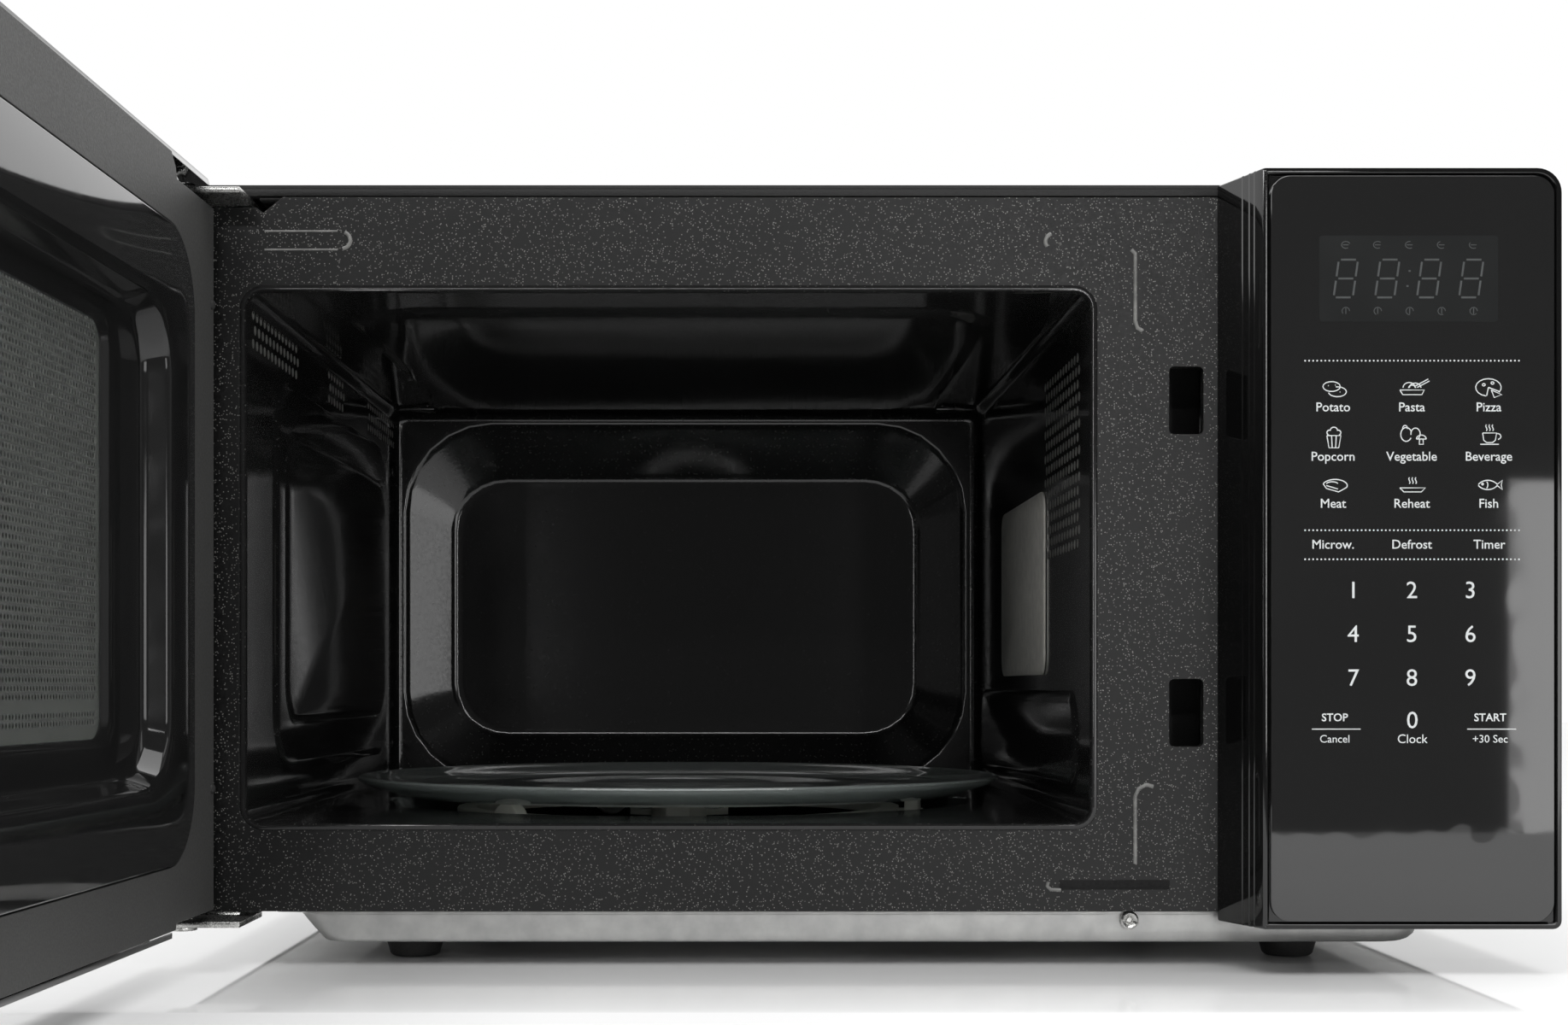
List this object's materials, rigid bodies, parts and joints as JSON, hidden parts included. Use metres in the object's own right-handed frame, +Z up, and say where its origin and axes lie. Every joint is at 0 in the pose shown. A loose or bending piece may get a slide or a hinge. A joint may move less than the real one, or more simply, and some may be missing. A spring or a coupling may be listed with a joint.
{
  "type": "microwave oven",
  "caption": "Countertop microwave oven with a side-hinged door, glass turntable on a roller ring, latch hooks, touch control panel and its inner electrical parts.",
  "frame": {"origin": "under the middle of the whole object with its door open, on the surface that the feet stand on", "axes": "+X to the right of a person who faces the oven, +Y from the door to the rear, +Z up"},
  "size_m": [0.506, 0.7436, 0.2782],
  "materials": {
    "cavity_enamel": "dark speckled enamel on pressed steel",
    "cover_paint": "fine textured black paint",
    "galvanised_steel": "galvanised sheet steel",
    "plated_steel": "bright zinc plate",
    "door_paint": "matt dark grey paint",
    "gloss_black_plastic": "high gloss black moulding",
    "panel_overlay": "glossy black printed keypad sheet",
    "display_lens": "smoked display lens",
    "black_plastic": "matt black moulding",
    "white_plastic": "white heat resistant moulding",
    "foot_rubber": "dark moulded foot",
    "mica_sheet": "silvery grey mica sheet",
    "circuit_board": "green circuit board",
    "core_steel": "laminated core steel",
    "enamelled_copper": "varnished copper wire",
    "raw_aluminium": "plain aluminium",
    "clear_glass": "clear tempered glass",
    "door_tinted_glass": "black bordered door glass",
    "clear_film": "clear inner film"
  },
  "bodies": {
    "root": {"cavity_liner": "cavity_enamel", "front_frame": "cavity_enamel", "outer_cover": "cover_paint", "rear_panel": "galvanised_steel", "base_plate": "galvanised_steel", "foot_front_left": "foot_rubber", "foot_front_right": "foot_rubber", "foot_rear_left": "foot_rubber", "foot_rear_right": "foot_rubber", "cover_screw_left": "plated_steel", "cover_screw_right": "plated_steel", "cord_gland": "black_plastic", "control_panel_housing": "gloss_black_plastic", "control_panel_overlay": "panel_overlay", "display_window": "display_lens", "display_module": "black_plastic", "control_board": "circuit_board", "power_relay": "black_plastic", "board_transformer": "core_steel", "waveguide": "galvanised_steel", "waveguide_cover": "mica_sheet", "magnetron_core": "raw_aluminium", "magnetron_yoke": "galvanised_steel", "magnetron_filter_box": "galvanised_steel", "transformer_core": "core_steel", "primary_winding": "enamelled_copper", "secondary_winding": "enamelled_copper", "hv_capacitor": "raw_aluminium", "capacitor_clamp": "galvanised_steel", "hv_diode": "black_plastic", "fan_duct": "black_plastic", "fan_motor": "core_steel", "lamp_holder": "white_plastic", "lamp_bulb": "clear_glass", "line_filter": "circuit_board", "thermal_cutout": "black_plastic", "turntable_motor": "galvanised_steel", "interlock_bracket": "black_plastic", "upper_switch": "black_plastic", "monitor_switch": "black_plastic", "lower_switch": "black_plastic", "upper_hinge_bracket": "plated_steel", "lower_hinge_bracket": "plated_steel", "upper_hinge_pin": "plated_steel", "lower_hinge_pin": "plated_steel"},
    "door": {"door_outer_frame": "gloss_black_plastic", "door_glass": "door_tinted_glass", "door_metal_panel": "door_paint", "door_choke_cover": "gloss_black_plastic", "door_inner_film": "clear_film", "latch_spring": "plated_steel"},
    "latch": {"latch_hooks": "black_plastic"},
    "coupler": {"drive_coupler": "white_plastic"},
    "plate": {"glass_plate": "clear_glass"},
    "ring": {"roller_ring": "white_plastic"},
    "wheel_1": {"roller_1": "white_plastic"},
    "wheel_2": {"roller_2": "white_plastic"},
    "wheel_3": {"roller_3": "white_plastic"},
    "fan": {"fan_blade": "white_plastic"},
    "lever": {"interlock_lever": "white_plastic"}
  },
  "joints": [
    {"name": "door_hinge", "type": "hinge", "parent": "root", "child": "door", "pos_m": [-0.22564, -0.00707, 0.15], "axis": [0, 0, 1], "range_deg": [-13, 92]},
    {"name": "latch_slide", "type": "slide", "parent": "door", "child": "latch", "axis": [0, 0, 1], "range_m": [0, 0.005], "stiffness_N_per_m": 250, "springref_m": -0.012, "deforming": ["latch_spring"]},
    {"name": "turntable_spin", "type": "hinge", "parent": "root", "child": "coupler", "pos_m": [-0.05549, 0.17478, 0.045], "axis": [0, 0, 1], "continuous": true},
    {"name": "plate_lift", "type": "slide", "parent": "coupler", "child": "plate", "axis": [0, 0, 1], "range_m": [0, 0.03]},
    {"name": "ring_spin", "type": "hinge", "parent": "root", "child": "ring", "pos_m": [-0.05549, 0.17478, 0.0453], "axis": [0, 0, 1], "continuous": true},
    {"name": "fan_spin", "type": "hinge", "parent": "root", "child": "fan", "pos_m": [0.18351, 0.33278, 0.19], "axis": [0, 1, 0], "continuous": true},
    {"name": "lever_pivot", "type": "hinge", "parent": "root", "child": "lever", "pos_m": [0.13301, 0.02879, 0.128], "axis": [1, 0, 0], "range_deg": [-8, 0], "stiffness_Nm_per_rad": 0.02, "springref_deg": 8.59},
    {"name": "wheel_1_spin", "type": "hinge", "parent": "ring", "child": "wheel_1", "pos_m": [0.04496, 0.15707, 0.0453], "axis": [0.9848, -0.1736, 0], "continuous": true},
    {"name": "wheel_2_spin", "type": "hinge", "parent": "ring", "child": "wheel_2", "pos_m": [-0.09038, 0.27063, 0.0453], "axis": [-0.342, 0.9397, 0], "continuous": true},
    {"name": "wheel_3_spin", "type": "hinge", "parent": "ring", "child": "wheel_3", "pos_m": [-0.12106, 0.09665, 0.0453], "axis": [-0.6428, -0.766, 0], "continuous": true}
  ],
  "couplings": [
    {"joint": "ring_spin", "follows": "turntable_spin", "ratio": 0.5},
    {"joint": "wheel_1_spin", "follows": "turntable_spin", "ratio": -6.8},
    {"joint": "wheel_2_spin", "follows": "turntable_spin", "ratio": -6.8},
    {"joint": "wheel_3_spin", "follows": "turntable_spin", "ratio": -6.8}
  ]
}
